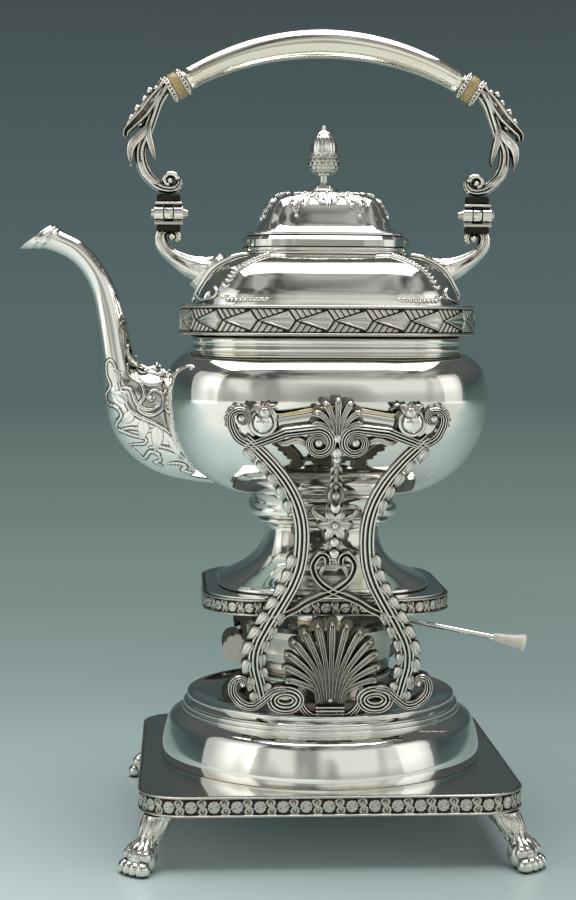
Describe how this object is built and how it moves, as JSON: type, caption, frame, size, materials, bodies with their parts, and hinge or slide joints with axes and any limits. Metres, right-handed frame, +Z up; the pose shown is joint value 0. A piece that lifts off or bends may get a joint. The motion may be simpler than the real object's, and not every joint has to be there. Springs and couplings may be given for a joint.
{
  "type": "spirit kettle on stand",
  "caption": "Cushion-shaped silver kettle with spout, hinged lid and swinging handle, hung on pins between two pierced scroll brackets over a spirit burner on a square paw-footed base.",
  "frame": {"origin": "on the table, below the axis of the stand's round dome, which is the middle of the four paws", "axes": "+Z up, +X to the right with the spout at -X, +Y to the back, with one bracket at the front and one at the back"},
  "size_m": [0.2354, 0.1854, 0.3698],
  "materials": {
    "silver": "polished silver, darkened in the recesses",
    "oxidised_silver": "silver with black and brown oxidation behind the relief",
    "gilt": "worn gilding and plain brass",
    "ivory": "polished ivory-like insulating rings and knobs",
    "wick": "woven cotton"
  },
  "bodies": {
    "stand": {"base_plate": "silver", "base_border": "oxidised_silver", "base_dome": "silver", "paw_front_left": "silver", "paw_front_right": "silver", "paw_back_left": "silver", "paw_back_right": "silver", "bracket_front": "silver", "bracket_back": "silver", "bracket_bolts": "oxidised_silver", "burner_seat": "silver"},
    "pin_fl": {"pin_front_left": "silver"},
    "pin_fr": {"pin_front_right": "silver"},
    "pin_bl": {"pin_back_left": "silver"},
    "pin_br": {"pin_back_right": "silver"},
    "kettle": {"hanger_front": "gilt", "hanger_back": "gilt", "kettle_bowl": "silver", "leaf_border": "oxidised_silver", "kettle_shoulder": "silver", "neck_ring": "silver", "pedestal": "silver", "plinth": "silver", "plinth_border": "oxidised_silver", "spout": "silver", "lid_hinge_seat": "silver", "lid_hinge_pin": "oxidised_silver", "socket_left": "silver", "socket_right": "silver", "handle_pin_left": "oxidised_silver", "handle_pin_right": "oxidised_silver"},
    "lid": {"lid_shell": "silver", "lid_rim": "silver", "lid_cap": "silver", "acorn_cup": "silver", "acorn_nut": "silver"},
    "handle": {"handle_arm_left": "silver", "handle_arm_right": "silver", "ivory_left": "ivory", "ivory_right": "ivory", "grip_collars": "silver", "grip": "silver"},
    "burner": {"burner_font": "oxidised_silver", "wick_tube": "gilt", "wick": "wick", "filler_cap": "silver", "thumb_piece": "ivory"},
    "lever": {"regulator": "silver", "lever_knob": "ivory"}
  },
  "joints": [
    {"name": "kettle_tilt", "type": "hinge", "parent": "stand", "child": "kettle", "pos_m": [-0.0315, 0, 0.1933], "axis": [0, -1, 0], "range_deg": [0, 45]},
    {"name": "handle_swing", "type": "hinge", "parent": "kettle", "child": "handle", "pos_m": [0, 0, 0.2847], "axis": [1, 0, 0], "range_deg": [-80, 80]},
    {"name": "lid_open", "type": "hinge", "parent": "kettle", "child": "lid", "pos_m": [0, 0.0407, 0.2695], "axis": [-1, 0, 0], "range_deg": [0, 100]},
    {"name": "pin_front_left_out", "type": "slide", "parent": "stand", "child": "pin_fl", "axis": [0, -1, 0], "range_m": [0, 0.014]},
    {"name": "pin_front_right_out", "type": "slide", "parent": "stand", "child": "pin_fr", "axis": [0, -1, 0], "range_m": [0, 0.014]},
    {"name": "pin_back_left_out", "type": "slide", "parent": "stand", "child": "pin_bl", "axis": [0, 1, 0], "range_m": [0, 0.014]},
    {"name": "pin_back_right_out", "type": "slide", "parent": "stand", "child": "pin_br", "axis": [0, 1, 0], "range_m": [0, 0.014]},
    {"name": "burner_lift", "type": "slide", "parent": "stand", "child": "burner", "axis": [0, 0, 1], "range_m": [0, 0.005]},
    {"name": "lever_turn", "type": "hinge", "parent": "burner", "child": "lever", "pos_m": [0, 0, 0.097], "axis": [0, 0, 1], "range_deg": [-25, 25]}
  ]
}
